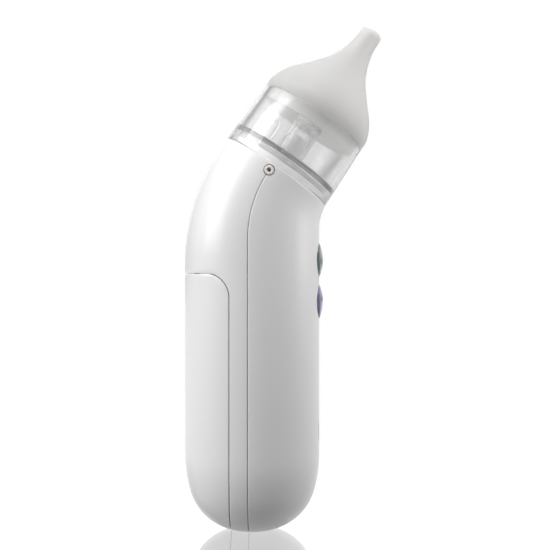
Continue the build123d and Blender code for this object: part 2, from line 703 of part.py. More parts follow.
def pump_screws():
    y = COVER_BACK + 0.02
    corners = [(x, z) for x in (-PUMP_SCREW, PUMP_SCREW) for z in (-PUMP_SCREW, PUMP_SCREW)]
    return Compound(children=[screw(x, y, PUMP_Z + z, -1, 7.9, 0.7, 1.3, 0.7) for x, z in corners])


def head_layer(front, back):
    """One square layer of the pump head, bored for its screws."""
    layer = block((-HEAD_HALF, HEAD_HALF), (front, back), (PUMP_Z - HEAD_HALF, PUMP_Z + HEAD_HALF))
    layer = fillet(layer.edges().filter_by(Axis.Y), 1.0)
    return layer - pump_screw_bores(0.75)


def pump_diaphragm():
    sheet = rod((0, BRACKET_WALL[1] + 0.01, PUMP_Z), (0, DIAPHRAGM_BACK, PUMP_Z), 4.4)
    return sheet - rod((0, 7, PUMP_Z), (0, 9, PUMP_Z), 0.82)


def pump_chamber_ring():
    ring = head_layer(BRACKET_WALL[1] + 0.01, CHAMBER_BACK)
    ring = ring - rod((0, 5, PUMP_Z), (0, 20, PUMP_Z), 3.5)
    return ring - rod((0, 5, PUMP_Z), (0, DIAPHRAGM_BACK + 0.01, PUMP_Z), 4.45)


def valve_plate():
    """The inlet valve's way is on the left and the outlet's on the right."""
    plate = head_layer(CHAMBER_BACK + 0.01, PLATE_BACK)
    for x in (-VALVE_X, VALVE_X):
        plate = plate - rod((x, 8, PUMP_Z), (x, 16, PUMP_Z), 0.6)
    return plate


def valve_flaps():
    """Rubber discs: the inlet's is on the chamber side, the outlet's behind the plate."""
    inlet = rod((-VALVE_X, CHAMBER_BACK - 0.35, PUMP_Z), (-VALVE_X, CHAMBER_BACK, PUMP_Z), 1.4)
    outlet = rod((VALVE_X, PLATE_BACK + 0.02, PUMP_Z), (VALVE_X, PLATE_BACK + 0.47, PUMP_Z), 1.4)
    return Compound(children=[inlet, outlet])


def pump_cover():
    """Two small chambers side by side, each with a port out to its side."""
    cover = head_layer(PLATE_BACK + 0.01, COVER_BACK)
    deep, tall = (PLATE_BACK - 1, COVER_BACK - 1.0), (PUMP_Z - 2.4, PUMP_Z + 2.4)
    for side in (-1, 1):
        chamber = block(sorted((side * 0.4, side * 3.8)), deep, tall)
        port = rod((side * 5.0, PORT_Y, PUMP_Z), (side * PORT_END, PORT_Y, PUMP_Z), PORT_RADIUS)
        way = rod((side * VALVE_X, PORT_Y, PUMP_Z), (side * (PORT_END + 1), PORT_Y, PUMP_Z), 0.5)
        cover = cover - chamber + port - way
    return cover


def suction_tube():
    """From the pump's inlet port up to the seat's nipple."""
    nipple = HEAD.from_local_coords(Vector(0, 0, -SEAT_DEPTH - 0.1))
    turn = HEAD.from_local_coords(Vector(0, 0, NIPPLE_END - 2.6))
    points = [
        (-HEAD_HALF - 0.1, PORT_Y, PUMP_Z), (-10.2, PORT_Y, PUMP_Z), (-10.8, 8.6, 107.8),
        (-8.2, 2.6, 109.2), tuple(turn), tuple(nipple),
    ]
    outside = lead(points, TUBE_RADIUS, 1.9)
    return outside - lead(points, PORT_RADIUS + 0.02, 1.9)


# ---------------------------------------------------------------- leads

def pair(points, radius, corner, apart):
    """Two wires side by side, apart in X."""
    wires = []
    for side in (-1, 1):
        route = [(x + side * apart / 2, y, z) for x, y, z in points]
        wires.append(lead(route, radius, corner))
    return Compound(children=wires)


def battery_leads():
    y = BOARD_FRONT + BOARD_THICK
    route = [(0, TRAY_FRONT - 0.05, 70.5), (0, -4.5, 70.5), (0, -4.5, 66), (0, y + 0.05, 66)]
    return pair(route, 0.55, 1.8, apart=12)


def motor_leads():
    y = BOARD_FRONT + BOARD_THICK
    z = MOTOR_BOTTOM - 0.95
    return pair([(0, -6.5, z), (0, -6.5, 71.4), (0, y + 0.05, 71.4)], 0.5, 1.2, apart=5)


def speaker_leads():
    y = BOARD_FRONT + BOARD_THICK
    route = [(0, -10.15, 35), (0, -6.0, 35), (0, -6.0, 60.5), (0, y + 0.05, 60.5)]
    return pair(route, 0.45, 1.8, apart=8)


# ---------------------------------------------------------------- everything

def build():
    outer = body_form()
    inner = body_form(WALL)
    nodes = {
        "front_shell": front_shell(outer, inner),
        "rear_shell": rear_shell(outer, inner),
        "battery_door": battery_door(outer, inner),
        "battery_tray": battery_tray(body_form(WALL + 0.3)),
        "battery_left": battery(-1),
        "battery_right": battery(1),
    }
    for name, z in BUTTONS.items():
        nodes[name + "_button"] = button(z)
        nodes[name + "_plunger"] = plunger(z)
    plain = [
        head_seat, seat_gasket, inlet_filter, seat_pins, collection_cup, baffle_cage, nozzle_tip,
        tact_switches, circuit_board, board_components, board_screws, case_screws,
        speaker_frame, speaker_cone, speaker_magnet, battery_springs, contact_plates,
        motor_can, motor_magnets, motor_end_cap, motor_bushes, motor_brushes, motor_shaft, armature_core,
        armature_windings, commutator, crank_eccentric, bearing_inner_race, bearing_outer_race,
        bearing_balls, connecting_rod, piston_screw, pump_bracket, motor_screws, pump_screws,
        pump_diaphragm, pump_chamber_ring, valve_plate, valve_flaps, pump_cover, suction_tube,
        battery_leads, motor_leads, speaker_leads,
    ]
    for make in plain:
        nodes[make.__name__] = make()
    return nodes


os.makedirs("parts", exist_ok=True)
for name, shape in build().items():
    export_step(shape, f"parts/{name}.step")
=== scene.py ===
"""The looks of the nasal aspirator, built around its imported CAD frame."""
import json
from math import asin, atan2, cos, degrees, pi, radians, sin, sqrt

import bmesh
import bpy
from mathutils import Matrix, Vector
from mathutils.bvhtree import BVHTree


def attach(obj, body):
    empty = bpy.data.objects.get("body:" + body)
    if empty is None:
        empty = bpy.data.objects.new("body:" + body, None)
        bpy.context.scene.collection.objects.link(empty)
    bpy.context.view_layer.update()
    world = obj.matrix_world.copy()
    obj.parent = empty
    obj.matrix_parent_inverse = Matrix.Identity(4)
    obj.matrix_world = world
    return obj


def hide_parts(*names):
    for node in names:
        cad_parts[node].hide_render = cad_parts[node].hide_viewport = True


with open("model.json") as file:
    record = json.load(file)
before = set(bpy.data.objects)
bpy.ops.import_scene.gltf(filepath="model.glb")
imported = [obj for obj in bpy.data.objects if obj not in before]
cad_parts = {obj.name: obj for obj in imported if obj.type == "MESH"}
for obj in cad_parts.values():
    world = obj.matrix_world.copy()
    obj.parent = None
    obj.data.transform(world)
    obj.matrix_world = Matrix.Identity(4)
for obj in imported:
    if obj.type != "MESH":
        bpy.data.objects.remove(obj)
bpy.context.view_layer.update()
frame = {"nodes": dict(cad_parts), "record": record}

MM = 0.001

# Hand body, in millimetres
HALF_DEPTH, HALF_WIDTH, WALL = 22.2, 20.5, 2.0
BASE_FLAT, BASE_RADIUS, BASE_TURN = 3.3, 18.0, 75.0
BEND_Z, BEND_FRONT_Z, BEND_RADIUS = 88.5, 99.5, 65.5
RIM_ROUND = 0.3
OUTER_FINE, INNER_FINE = 24, 10      # steps up the curves of the outer and inner skin

# Head
LEAN = 34.5
HEAD_Y, HEAD_Z, HEAD_RADIUS = -7.84, 117.7, 19.6
SEAT_DEPTH, SEAT_RISE, SEAT_RADIUS = 4.0, 3.8, 17.2
SEAT_GAP = 0.25                      # between the seat and the shells' wall
GASKET_LOW, GASKET_WIDE = 2.4, 1.1
FILTER_RADIUS, FILTER_THICK = 6.9, 1.2
CUP_GAP, CUP_TOP, CUP_TOP_RADIUS = 0.15, 21.6, 19.0
CUP_INNER = (17.45, 17.25, 17.0)     # inside radius round the seat, over the floor and at the top
CUP_FLOOR = (4.3, 5.7)
CHIMNEY_TOP, CHIMNEY_RADIUS, CHIMNEY_BORE = 13.5, 3.4, 2.2
MARK_BACK, MARK_UP, MARK_THICK = 7.5, 9.4, 0.34
MARK_TOP, MARK_BOTTOM, MARK_HALF = 1.4, -2.8, 1.2
CAGE_RADIUS, CAGE_TOP, CAGE_WALL, CAGE_ROOF = 5.0, 19.6, 1.1, 1.2
WINDOW_HALF, WINDOW_LOW, WINDOW_HIGH = 1.8, 11.4, 17.0
SKIRT_END, SKIRT_RADIUS, SKIRT_BORE = 17.7, 16.94, 15.4
NOZZLE_OUTLINE = [(19.0, 21.7), (18.75, 25.6), (16.3, 30.7), (11.4, 36.5), (7.5, 41.5), (5.1, 46.5),
                  (3.95, 51.0), (3.7, 54.6)]
NOZZLE_WALL = 1.9
TIP_END, TIP_BORE, TIP_INSIDE = 56.6, 1.6, 47.5
TIP_ROUND, MOUTH_ROUND = 1.0, 0.4
PIN_BACK, PIN_UP = 1.0, -2.33
PIN_RADIUS, PIN_SHANK, PIN_HOLE, PIN_CLEARANCE = 1.55, 1.1, 0.62, 0.27
PIN_END, PIN_NECK, PIN_HOLE_END = 14.05, 17.62, 16.0

# Seams, door, buttons and speaker slots
PARTING_Y, SEAM_GAP = 1.0, 0.06
DOOR_FRONT_Y, DOOR_TOP, DOOR_CORNER, DOOR_GAP = 6.7, 84.3, 7.5, 0.14
TONGUE_HALF, TONGUE_LOW, TONGUE_ROUND = 5.0, 76.0, 0.3
BUTTONS = {"suction": 88.8, "music": 75.0}
BUTTON_RADIUS, BUTTON_HOLE, BUTTON_PROUD = 5.92, 6.0, 1.15
FLANGE_RADIUS, FLANGE_FRONT, FLANGE_BACK = 6.7, 18.3, 17.3
SPEAKER_Z = 32.4
GRILLE_SLOTS, GRILLE_PITCH, GRILLE_TALL, GRILLE_WIDE = 5, 2.0, 5.7, 0.8
BUTTON_LIP, SLOT_LIP, HOLE_END = 0.35, 0.15, -15.0

# Cutters
PAST_BODY, BELOW_BODY = 40, -5       # a distance and a height that are clear of the body
SEAM_LOW = 26                        # where a seam down the side turns to go underneath
PIN_CUT = (12, 26)                   # inner and outer end of a pin's recess, from the middle

# Brightness of the studio's walls, once round from -X by -Y, +X and +Y. How much the walls take over from
# the ground, from straight below to straight above. The ground's brightness, over the same heights.
WALLS = [(0.0, 0.15), (0.14, 0.15), (0.24, 0.6), (0.34, 1.0), (0.58, 1.0), (0.60, 0.02), (0.66, 0.02),
         (0.70, 1.0), (0.78, 1.0), (0.9, 0.25), (1.0, 0.15)]
HEIGHTS = [(0.0, 0.0), (0.49, 0.0), (0.53, 1.0), (1.0, 1.0)]
GROUND = [(0.0, 0.7), (0.2, 0.35), (0.4, 0.05), (1.0, 0.05)]

# Lamps: place, target, size, watts and spread in degrees
LAMPS = {
    "key_left": ((-0.2, 0.48, 0.38), (0, 0, 0.08), (0.35, 0.5), 3.2, 180),
    "rim_right": ((0.0, -0.5, 0.32), (0, -0.01, 0.09), (0.25, 0.5), 1.5, 180),
    "top_front": ((-0.23, -0.03, 0.58), (0, 0, 0.08), (0.3, 0.3), 1.5, 180),
    "head_fill": ((-0.12, -0.26, 0.2), (0, -0.04, 0.155), (0.12, 0.12), 0.014, 30),
}

# The floor mirrors the object near it and is plain white from FLOOR_FAR on, in metres
FLOOR_HALF, FLOOR_DROP = 3.0, 0.0002
FLOOR_NEAR, FLOOR_FAR = 0.045, 0.16
FLOOR_GLOW = 0.41

ROUND = 256                          # points round the body
SEAM_STEPS = 48

HEAD_AXIS = Vector((0, -sin(radians(LEAN)), cos(radians(LEAN))))
HEAD_BACK = Vector((0, cos(radians(LEAN)), sin(radians(LEAN))))
HEAD_ORIGIN = Vector((0, HEAD_Y, HEAD_Z))


# ---------------------------------------------------------------- mesh helpers

def head_point(x, back, up):
    """A point given in the head's own directions."""
    return HEAD_ORIGIN + Vector((x, 0, 0)) + HEAD_BACK * back + HEAD_AXIS * up


def make_object(name, points, faces):
    """A mesh object from millimetre points."""
    mesh = bpy.data.meshes.new(name)
    mesh.from_pydata([tuple(c * MM for c in p) for p in points], [], faces)
    mesh.validate()
    thing = bpy.data.objects.new(name, mesh)
    bpy.context.scene.collection.objects.link(thing)
    return thing


def skinned(name, rings, loop=False):
    """A closed mesh over rings of points. The ends are capped, unless the rings join up in a loop."""
    count = len(rings[0])
    points = [tuple(p) for ring in rings for p in ring]
    faces = []
    last = len(rings) if loop else len(rings) - 1
    for r in range(last):
        low, high = r * count, ((r + 1) % len(rings)) * count
        for i in range(count):
            j = (i + 1) % count
            faces.append((low + i, low + j, high + j, high + i))
    if not loop:
        faces.append(tuple(range(count))[::-1])
        faces.append(tuple(range((len(rings) - 1) * count, len(rings) * count)))
    thing = make_object(name, points, faces)
    outward(thing)
    return thing


def outward(thing):
    mesh = bmesh.new()
    mesh.from_mesh(thing.data)
    bmesh.ops.recalc_face_normals(mesh, faces=mesh.faces)
    mesh.to_mesh(thing.data)
    mesh.free()


def revolved(name, outline, place, segments=128):
    """A closed ring or a capped solid turned from (radius, height) points.
    place(x, y, height) puts each point in the frame."""
    rings = []
    for radius, height in outline:
        radius = max(radius, 1e-4)
        angles = [2 * pi * i / segments for i in range(segments)]
        rings.append([place(radius * cos(a), radius * sin(a), height) for a in angles])
    hollow = outline[0][0] > 0.01
    return skinned(name, rings, loop=hollow)


def along_front(z):
    """Places a turned shape with its axis pointing out of the front, at height z. Its height is -Y."""
    return lambda x, up, out: Vector((x, -out, z + up))


def along_side(side, centre):
    """Places a turned shape with its axis pointing out of one side of the head."""
    return lambda a, b, out: Vector((side * out, centre.y + a, centre.z + b))


def arc(centre, radius, start, end, steps):
    """Points on an arc, both ends included, angles in degrees."""
    angles = [radians(start + (end - start) * i / steps) for i in range(steps + 1)]
    return [(centre[0] + radius * cos(a), centre[1] + radius * sin(a)) for a in angles]


def rounded(outline, radius, steps=4, closed=True):
    """The outline with each corner rounded, as far as its sides allow."""
    result = []
    count = len(outline)
    for i, corner in enumerate(outline):
        if not closed and i in (0, count - 1):
            result.append(corner)
            continue
        here = Vector(corner)
        before = Vector(outline[i - 1]) - here
        after = Vector(outline[(i + 1) % count]) - here
        if before.length < 1e-6 or after.length < 1e-6:
            continue
        turn = before.angle(after)
        if turn > radians(170):
            result.append(corner)
            continue
        reach = min(radius, 0.45 * before.length, 0.45 * after.length)
        first, last = here + before.normalized() * reach, here + after.normalized() * reach
        for s in range(steps + 1):
            t = s / steps
            point = first * (1 - t) ** 2 + here * 2 * t * (1 - t) + last * t ** 2
            result.append(tuple(point))
    return result


def smooth_curve(points, steps):
    """A Catmull-Rom curve through the points."""
    padded = [2 * Vector(points[0]) - Vector(points[1])] + [Vector(p) for p in points]
    padded.append(2 * padded[-1] - padded[-2])
    curve = []
    for i in range(1, len(padded) - 2):
        a, b, c, d = padded[i - 1:i + 3]
        for s in range(steps):
            t = s / steps
            curve.append(tuple(
                0.5 * (2 * b + (c - a) * t + (2 * a - 5 * b + 4 * c - d) * t ** 2
                       + (3 * b - a - 3 * c + d) * t ** 3)
            ))
    curve.append(tuple(points[-1]))
    return curve


def prism(name, outline):
    """A slab across the whole width, from a closed (Y, Z) outline."""
    rings = [[(x, y, z) for y, z in outline] for x in (-45, 45)]
    return skinned(name, rings)


def apply_modifiers(thing):
    bpy.context.view_layer.update()
    made = bpy.data.meshes.new_from_object(thing.evaluated_get(bpy.context.evaluated_depsgraph_get()))
    thing.modifiers.clear()
    thing.data = made


def combine(thing, cutters, operation="DIFFERENCE"):
    """Cuts or joins other closed meshes with a closed mesh."""
    for cutter in cutters:
        modifier = thing.modifiers.new("cut", "BOOLEAN")
        modifier.operation = operation
        modifier.solver = "MANIFOLD"
        modifier.object = cutter
    apply_modifiers(thing)
    for cutter in cutters:
        bpy.data.objects.remove(cutter)
    return thing


def copy_of(thing, name):
    twin = bpy.data.objects.new(name, thing.data.copy())
    bpy.context.scene.collection.objects.link(twin)
    return twin


def shade(thing, angle=32):
    """Smooth shading, with edges sharper than the angle kept."""
    mesh = thing.data
    for polygon in mesh.polygons:
        polygon.use_smooth = True
    work = bmesh.new()
    work.from_mesh(mesh)
    for edge in work.edges:
        edge.smooth = len(edge.link_faces) == 2 and edge.calc_face_angle(0) < radians(angle)
    work.to_mesh(mesh)
    work.free()


# ---------------------------------------------------------------- the body's form

def oval(centre, wide, deep):
    """A ring of points: wide is half the width along X, deep is half the depth as a vector."""
    angles = [2 * pi * i / ROUND for i in range(ROUND)]
    return [centre + Vector((wide * cos(a), 0, 0)) + deep * sin(a) for a in angles]


def base_rings(inset, fine):
    """Rings up the rounded lower end."""
    rest = radians(90 - BASE_TURN)
    wide = (HALF_DEPTH - BASE_FLAT - BASE_RADIUS * cos(rest)) / (1 - cos(rest))
    height = BASE_RADIUS + (wide - BASE_RADIUS) * sin(rest)
    profile = [(0.02, inset), (BASE_FLAT * 0.5, inset)]
    profile += arc((BASE_FLAT, BASE_RADIUS), BASE_RADIUS - inset, -90, BASE_TURN - 90, fine)
    profile += arc((HALF_DEPTH - wide, height), wide - inset, BASE_TURN - 90, 0, fine // 2)[1:]
    squeeze = (HALF_WIDTH - inset) / (HALF_DEPTH - inset)
    return [oval(Vector((0, 0, z)), r * squeeze, Vector((0, r, 0))) for r, z in profile], height


def bend_ring(part, inset):
    """The ring at a part, 0 to 1, of the way round the bend."""
    lean = radians(LEAN)
    back_end = HEAD_Z + HEAD_RADIUS * sin(lean)
    front_end = (HEAD_Y - HEAD_RADIUS * cos(lean), HEAD_Z - HEAD_RADIUS * sin(lean))
    angle = asin((back_end - BEND_Z) / BEND_RADIUS) * part
    back = Vector((0, HALF_DEPTH - BEND_RADIUS * (1 - cos(angle)), BEND_Z + BEND_RADIUS * sin(angle)))
    front_z = BEND_Z + (front_end[1] - BEND_Z) * part
    past_bend = max(0.0, front_z - BEND_FRONT_Z) / (front_end[1] - BEND_FRONT_Z)
    front = Vector((0, -HALF_DEPTH + (front_end[0] + HALF_DEPTH) * past_bend ** 2, front_z))
    width = HALF_WIDTH + (HEAD_RADIUS - HALF_WIDTH) * part ** 2
    across = (back - front) / 2
    deep = across.normalized() * (across.length - inset)
    return oval((back + front) / 2, width - inset, deep)


def body_rings(inset, fine):
    rings, height = base_rings(inset, fine)
    for i in range(1, fine + 1):
        z = height + (BEND_Z - height) * i / fine
        rings.append(oval(Vector((0, 0, z)), HALF_WIDTH - inset, Vector((0, HALF_DEPTH - inset, 0))))
    rings += [bend_ring((i + 1) / (fine * 2), inset) for i in range(fine * 2)]
    return rings


def body_solid():
    """The whole hand body as one closed wall, open at the head, with a rounded rim."""
    outer, inner = body_rings(0, OUTER_FINE), body_rings(WALL, INNER_FINE)
    rim = []
    for turn in (30, 60, 90):
        drop, back = RIM_ROUND * (1 - sin(radians(turn))), RIM_ROUND * (1 - cos(radians(turn)))
        rim.append([p - (p - HEAD_ORIGIN).normalized() * back - HEAD_AXIS * drop for p in outer[-1]])
    outer[-1] = [p - HEAD_AXIS * RIM_ROUND for p in outer[-1]]
    return skinned("body_solid", outer + rim + inner[::-1])


def front_outline(shift):
    """The (Y, Z) outline of everything in front of the parting line."""
    turn = radians(LEAN)
    pin = head_point(0, PIN_BACK, PIN_UP)
    radius = (PARTING_Y - pin.y) / (1 - cos(turn))
    start = (PARTING_Y - shift, pin.z - radius * sin(turn))
    bend = arc((start[0] - radius, start[1]), radius, 0, LEAN, SEAM_STEPS)
    far = (bend[-1][0] - sin(turn) * PAST_BODY, bend[-1][1] + cos(turn) * PAST_BODY)
    front = -1.5 * PAST_BODY
    return [(start[0], BELOW_BODY)] + bend + [far, (front, far[1]), (front, BELOW_BODY)]


def door_outline(gap):
    low, top = DOOR_FRONT_Y + gap, DOOR_TOP - gap
    corner = arc((low + DOOR_CORNER, top - DOOR_CORNER), DOOR_CORNER, 180, 90, SEAM_STEPS // 2)
    return [(low, BELOW_BODY)] + corner + [(PAST_BODY, top), (PAST_BODY, BELOW_BODY)]


# ---------------------------------------------------------------- seam grooves

class Skin:
    """The body's outer face, to find points on it."""

    def __init__(self, solid):
        mesh = bmesh.new()
        mesh.from_mesh(solid.data)
        self.tree = BVHTree.FromBMesh(mesh)
        mesh.free()

    def hit(self, inside, direction):
        """The outermost point on a line from inside, as (point, outward normal)."""
        direction = Vector(direction).normalized()
        start = Vector(inside) * MM + direction * 0.09
        point, normal, _, _ = self.tree.ray_cast(start, -direction)
        if point is None:
            return None
        return point / MM, normal


def side_path(skin, side_points, base_y, base_z):
    """A seam on the skin: (Y, Z) points down one side, round underneath at base_y, and up the other."""
    hits = [skin.hit((0, y, z), (1, 0, 0)) for y, z in side_points]
    hits = [h for h in hits if h]
    steps = SEAM_STEPS * 2
    under = [
        skin.hit((0, base_y, base_z), (cos(pi * i / steps), 0, -sin(pi * i / steps)))
        for i in range(1, steps)
    ]
    mirror = [(Vector((-p.x, p.y, p.z)), Vector((-n.x, n.y, n.z))) for p, n in reversed(hits)]
    return hits + under + mirror


GROOVE = [(-0.50, 0.20), (-0.34, 0.02), (-0.20, -0.03), (-0.11, -0.11), (-0.07, -0.24), (-0.05, -1.3),
          (0.05, -1.3), (0.07, -0.24), (0.11, -0.11), (0.20, -0.03), (0.34, 0.02), (0.50, 0.20)]


def groove_cutter(name, path, loop):
    """A thin wedge with rounded shoulders, swept along a seam."""
    rings = []
    count = len(path)
    for i, (point, normal) in enumerate(path):
        ahead = path[(i + 1) % count][0] if loop or i < count - 1 else point
        behind = path[i - 1][0] if loop or i > 0 else point
        across = (ahead - behind).normalized().cross(normal).normalized()
        rings.append([point + across * a + normal * d for a, d in GROOVE])
    if not loop:
        for end, inner in ((0, 1), (-1, -2)):
            step = (path[end][0] - path[inner][0]).normalized() * 1.5
            extra = [p + step for p in rings[end]]
            rings.insert(0 if end == 0 else len(rings), extra)
    return skinned(name, rings, loop=loop)


def parting_cutter(skin):
    outline = front_outline(SEAM_GAP / 2)
    side = outline[1:SEAM_STEPS + 2][::-1]
    low = side[-1][1]
    side += [(outline[0][0], low + (SEAM_LOW - low) * i / SEAM_STEPS) for i in range(1, SEAM_STEPS)]
    return groove_cutter("parting_groove", side_path(skin, side, outline[0][0], SEAM_LOW), loop=False)


def door_cutter(skin):
    outline = door_outline(DOOR_GAP / 2)
    corner = outline[1:SEAM_STEPS // 2 + 2][::-1]
    y, z = outline[0][0], corner[-1][1]
    side = corner + [(y, z + (SEAM_LOW - z) * i / SEAM_STEPS) for i in range(1, SEAM_STEPS)]
    path = side_path(skin, side, y, SEAM_LOW)
    last = path[-1][0]
    top = DOOR_TOP - DOOR_GAP / 2
    start = atan2(last.y, -last.x)
    back = []
    for i in range(1, SEAM_STEPS):
        a = start + (pi - 2 * start) * i / SEAM_STEPS
        back.append(skin.hit((0, 0, top), (-cos(a), sin(a), 0)))
    return groove_cutter("door_groove", path + back, loop=True)


# ---------------------------------------------------------------- body pieces

def pin_recesses(name):
    """The round recesses for the pins, as one cutter for each side."""
    centre = head_point(0, PIN_BACK, PIN_UP)
    radius = PIN_RADIUS + PIN_CLEARANCE
    inside, outside = PIN_CUT
    outline = [(0, inside), (radius, inside), (radius, outside), (0, outside)]
    return [revolved(f"{name}_{side}", outline, along_side(side, centre), 64) for side in (-1, 1)]


def front_face_y(x):
    """How far forward the straight part of the body is at x."""
    return HALF_DEPTH * sqrt(1 - (x / HALF_WIDTH) ** 2)


def lipped_hole(name, outline, centre_z, lip):
    """A cutter for a hole through the front wall, with a rounded lip that follows the curved face.
    outline gives (x, z, outward direction) round the hole."""
    rings = []
    for turn in (0, 30, 60, 90):
        out = lip * (1 - sin(radians(turn)))
        deep = lip * (1 - cos(radians(turn)))
        ring = []
        for x, z, direction in outline:
            px, pz = x + direction[0] * out, z + direction[1] * out
            ring.append((px, -(front_face_y(px) - deep), centre_z + pz))
        rings.append(ring)
    lifted = [(x, -HALF_DEPTH - 1, z) for x, _, z in rings[0]]
    inside = [(x, HOLE_END, z) for x, _, z in rings[-1]]
    return skinned(name, [lifted] + rings + [inside])


def circle_outline(radius, steps=96):
    angles = [2 * pi * i / steps for i in range(steps)]
    return [(radius * cos(a), radius * sin(a), (cos(a), sin(a))) for a in angles]


def slot_outline(x, tall, wide, steps=16):
    """An upright slot with round ends."""
    points = []
    for end in (1, -1):
        for i in range(steps + 1):
            a = pi * i / steps if end > 0 else pi + pi * i / steps
            across, up = wide / 2 * cos(a), wide / 2 * sin(a)
            points.append((x + across, end * (tall - wide) / 2 + up, (cos(a), sin(a))))
    return points


def front_shell(body):
    half = prism("front_half", front_outline(SEAM_GAP))
    shell = combine(copy_of(body, "front_shell_skin"), [half], "INTERSECT")
    ring = circle_outline(BUTTON_HOLE)
    holes = [lipped_hole(f"{name}_hole", ring, z, BUTTON_LIP) for name, z in BUTTONS.items()]
    for index in range(GRILLE_SLOTS):
        x = (index - (GRILLE_SLOTS - 1) / 2) * GRILLE_PITCH
        slot = slot_outline(x, GRILLE_TALL, GRILLE_WIDE)
        holes.append(lipped_hole(f"slot_{index}", slot, SPEAKER_Z, SLOT_LIP))
    return combine(shell, holes + pin_recesses("front_recess"))


def rear_shell(body):
    cutters = [prism("not_front", front_outline(0)), prism("not_door", door_outline(0))]
    return combine(copy_of(body, "rear_shell_skin"), cutters + pin_recesses("rear_recess"))


def battery_door(body):
    """The door, with a tongue that goes behind the shell's edge and a foot that joins it to the door."""
    part = prism("door_part", door_outline(DOOR_GAP))
    door = combine(copy_of(body, "battery_door_skin"), [part], "INTERSECT")
    blocks = {
        "tongue": ((17.8, 19.1), (TONGUE_LOW, DOOR_TOP + 3)),
        "foot": ((18.5, 20.6), (TONGUE_LOW + 0.2, DOOR_TOP - 1)),
    }
    parts = []
    for name, ((front, back), (low, high)) in blocks.items():
        outline = rounded([(front, low), (back, low), (back, high), (front, high)], TONGUE_ROUND)
        parts.append(skinned(name, [[(x, y, z) for y, z in outline] for x in (-TONGUE_HALF, TONGUE_HALF)]))
    return combine(door, parts, "UNION")


def button(name, z):
    """A domed cap with a soft edge, and its flange behind the wall."""
    edge = HALF_DEPTH - 0.1
    top = HALF_DEPTH + BUTTON_PROUD
    sphere = (BUTTON_RADIUS ** 2 + (top - edge) ** 2) / (2 * (top - edge))
    reach = degrees(asin(BUTTON_RADIUS / sphere))
    dome = arc((0, top - sphere), sphere, 90, 90 - reach * 0.93, 20)
    soft = smooth_curve([dome[-1], (BUTTON_RADIUS - 0.1, edge - 0.08), (BUTTON_RADIUS, edge - 0.5)], 5)
    outline = dome + soft[1:] + [
        (BUTTON_RADIUS, FLANGE_FRONT), (FLANGE_RADIUS, FLANGE_FRONT), (FLANGE_RADIUS, FLANGE_BACK),
        (0, FLANGE_BACK),
    ]
    return revolved(f"{name}_button_cap", outline, along_front(z))


# ---------------------------------------------------------------- head pieces

def head_seat():
    """The plug that the cup is pushed on, with a step for the gasket and a recess for the filter."""
    radius = HEAD_RADIUS - WALL - SEAT_GAP
    step = SEAT_RADIUS - GASKET_WIDE
    recess = SEAT_RISE - FILTER_THICK - 0.2
    outline = [(0, recess), (FILTER_RADIUS + 0.05, recess), (FILTER_RADIUS + 0.1, SEAT_RISE),
               (step, SEAT_RISE), (step, GASKET_LOW), (SEAT_RADIUS, GASKET_LOW), (SEAT_RADIUS, 0),
               (radius, 0), (radius, -SEAT_DEPTH), (0, -SEAT_DEPTH)]
    return revolved("head_seat_plug", rounded(outline, 0.2, closed=False), head_point, 192)


def seat_gasket():
    """The ring round the seat's top, which seals the cup."""
    inner, outer = SEAT_RADIUS - GASKET_WIDE + 0.02, SEAT_RADIUS + 0.08
    low, high = GASKET_LOW + 0.01, SEAT_RISE - 0.05
    outline = [(inner, low), (outer, low), (outer, high), (inner, high)]
    return revolved("seat_gasket_ring", rounded(outline, 0.25), head_point, 192)


def filter_disc():
    """The felt disc in the seat's recess."""
    top, bottom = SEAT_RISE - 0.1, SEAT_RISE - 0.1 - FILTER_THICK
    outline = [(0, top), (FILTER_RADIUS, top), (FILTER_RADIUS, bottom), (0, bottom)]
    return revolved("inlet_filter_felt", rounded(outline, 0.3, closed=False), head_point, 96)


def seat_pin(side):
    """A round pin with a hole in its middle."""
    centre = head_point(0, PIN_BACK, PIN_UP)
    face = sqrt(HEAD_RADIUS ** 2 - PIN_BACK ** 2) + 0.1
    outline = [(0, PIN_HOLE_END), (PIN_HOLE, PIN_HOLE_END), (PIN_HOLE, face), (PIN_RADIUS, face),
               (PIN_RADIUS, PIN_NECK), (PIN_SHANK, PIN_NECK), (PIN_SHANK, PIN_END), (0, PIN_END)]
    name = "seat_pin_left" if side < 0 else "seat_pin_right"
    return revolved(name, rounded(outline, 0.35, closed=False), along_side(side, centre), 64)


def level_mark(side):
    """The raised U-shaped outline on the inside of the cup's wall."""
    path = arc((0, MARK_TOP), MARK_HALF, 0, 180, 16)
    path = [(MARK_HALF, MARK_BOTTOM)] + path + [(-MARK_HALF, MARK_BOTTOM)]
    rings = []
    for i, (a, b) in enumerate(path):
        ahead, behind = path[min(i + 1, len(path) - 1)], path[max(i - 1, 0)]
        along = Vector((ahead[0] - behind[0], ahead[1] - behind[1])).normalized()
        ring = []
        for x, out in arc((0, 0), MARK_THICK, 0, 337.5, 15):
            back, up = MARK_BACK + a - along.y * x, MARK_UP + b + along.x * x
            face = 17.3 - (up - CUP_FLOOR[1]) * 0.02
            ring.append(head_point(side * (sqrt(face ** 2 - back ** 2) - 0.1 + out), back, up))
        rings.append(ring)
    return skinned(f"level_mark_{side}", rings)


